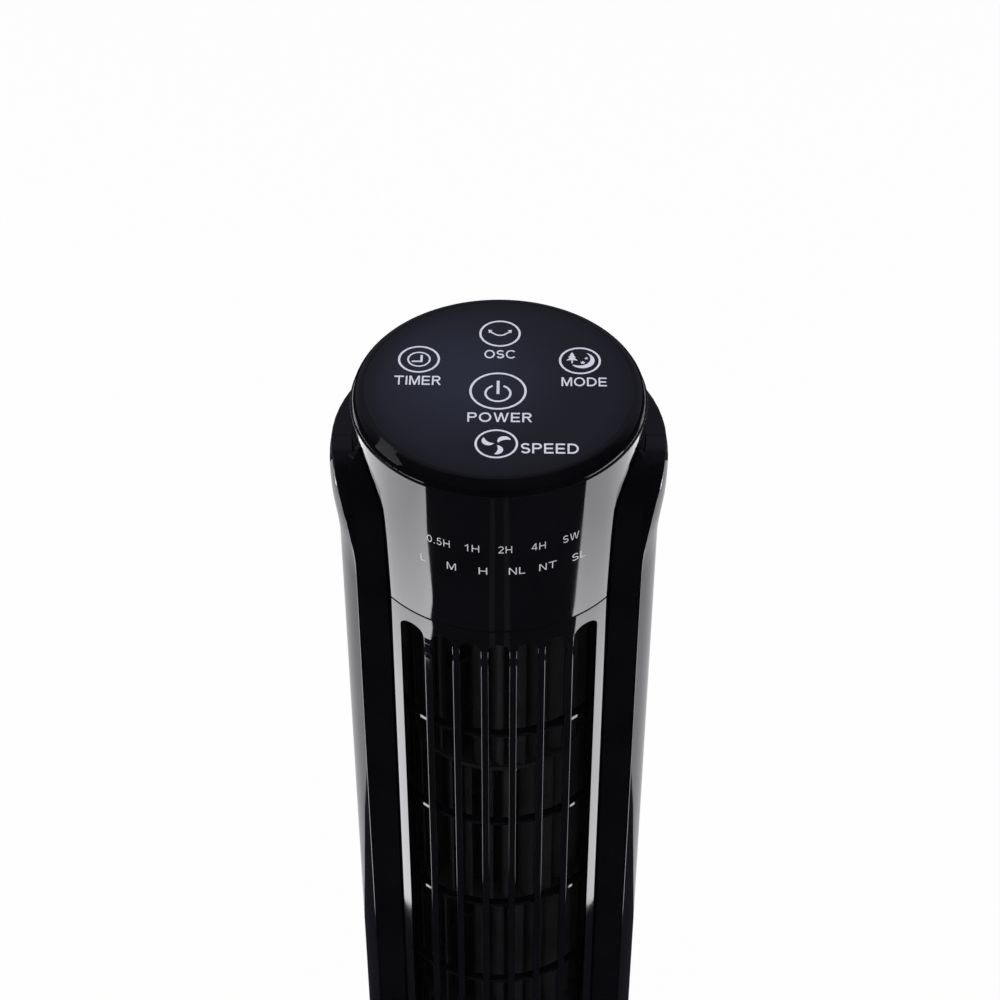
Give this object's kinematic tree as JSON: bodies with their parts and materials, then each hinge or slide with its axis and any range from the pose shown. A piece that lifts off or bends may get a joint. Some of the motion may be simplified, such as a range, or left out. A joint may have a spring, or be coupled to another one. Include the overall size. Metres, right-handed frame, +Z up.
{
  "type": "tower fan",
  "caption": "Oscillating tower fan: gloss column with curved slotted front grille, round control head with film keys, cross-flow impeller and geared swing drive on a round base.",
  "frame": {"origin": "centre of the base on the floor, on the column's swing axis", "axes": "+Z up, the air outlet faces -Y, +X to the right seen from the front"},
  "size_m": [0.24, 0.24, 0.762],
  "materials": {
    "housing": "high-gloss black moulded housing",
    "film": "smooth dark printed control film",
    "inner_black": "satin black moulded inner parts",
    "impeller": "glass-filled dark grey moulding",
    "grey_plastic": "natural acetal and light grey mouldings",
    "rubber": "soft black rubber",
    "steel": "zinc-plated steel",
    "lamination": "stacked electrical steel",
    "motor_can": "dark painted steel pressings",
    "copper": "enamelled copper windings",
    "bronze": "oil-soaked sintered bronze",
    "board": "phenolic paper circuit board",
    "component": "moulded electrical components",
    "lamp": "diffused lamps"
  },
  "bodies": {
    "base": {"base_cover": "housing", "base_plate": "inner_black", "rubber_feet": "rubber", "base_screws": "steel", "cord_gland": "rubber", "swing_sector": "grey_plastic", "swing_post": "steel", "post_screws": "steel", "thrust_washers": "grey_plastic", "post_nut": "steel"},
    "column": {"board_screws": "steel", "bush_holder": "rubber", "control_board": "board", "control_film": "film", "display_board": "board", "display_leds": "lamp", "duct_scroll": "inner_black", "duct_tongue": "inner_black", "front_frame": "housing", "front_grille": "housing", "head_screws": "steel", "head_shell": "housing", "housing_screws": "steel", "light_box": "inner_black", "mains_board": "board", "mains_parts": "component", "mains_screws": "steel", "motor_bushes": "bronze", "motor_grommets": "rubber", "motor_lower_bell": "motor_can", "motor_plate": "inner_black", "motor_screws": "steel", "motor_stator": "lamination", "motor_upper_bell": "motor_can", "motor_windings": "copper", "rear_cover": "housing", "run_capacitor": "component", "swing_motor": "steel", "swing_motor_screws": "steel", "tact_switches": "component", "top_cap": "housing", "turntable": "inner_black", "upper_bush": "bronze", "upper_plate": "inner_black"},
    "rotor": {"impeller": "impeller", "grub_screw": "steel", "impeller_pin": "steel", "motor_shaft": "steel", "motor_rotor": "lamination"},
    "pinion": {"swing_pinion": "grey_plastic", "swing_shaft": "steel"},
    "key_mode_body": {"key_mode": "grey_plastic"},
    "key_power_body": {"key_power": "grey_plastic"},
    "key_speed_body": {"key_speed": "grey_plastic"},
    "key_swing_body": {"key_swing": "grey_plastic"},
    "key_timer_body": {"key_timer": "grey_plastic"}
  },
  "joints": [
    {"name": "swing", "type": "hinge", "parent": "base", "child": "column", "pos_m": [0, 0, 0], "axis": [0, 0, 1], "range_deg": [-38, 38]},
    {"name": "impeller_spin", "type": "hinge", "parent": "column", "child": "rotor", "pos_m": [0, 0.006, 0], "axis": [0, 0, 1], "continuous": true},
    {"name": "pinion_spin", "type": "hinge", "parent": "column", "child": "pinion", "pos_m": [0, 0.038, 0], "axis": [0, 0, 1], "range_deg": [-143.5, 143.5]},
    {"name": "press_mode", "type": "slide", "parent": "column", "child": "key_mode_body", "axis": [0, 0, -1], "range_m": [0, 0.00025], "stiffness_N_per_m": 1500, "springref_m": -0.0001},
    {"name": "press_power", "type": "slide", "parent": "column", "child": "key_power_body", "axis": [0, 0, -1], "range_m": [0, 0.00025], "stiffness_N_per_m": 1500, "springref_m": -0.0001},
    {"name": "press_speed", "type": "slide", "parent": "column", "child": "key_speed_body", "axis": [0, 0, -1], "range_m": [0, 0.00025], "stiffness_N_per_m": 1500, "springref_m": -0.0001},
    {"name": "press_swing", "type": "slide", "parent": "column", "child": "key_swing_body", "axis": [0, 0, -1], "range_m": [0, 0.00025], "stiffness_N_per_m": 1500, "springref_m": -0.0001},
    {"name": "press_timer", "type": "slide", "parent": "column", "child": "key_timer_body", "axis": [0, 0, -1], "range_m": [0, 0.00025], "stiffness_N_per_m": 1500, "springref_m": -0.0001}
  ],
  "couplings": [
    {"joint": "pinion_spin", "follows": "swing", "ratio": 3.75}
  ]
}
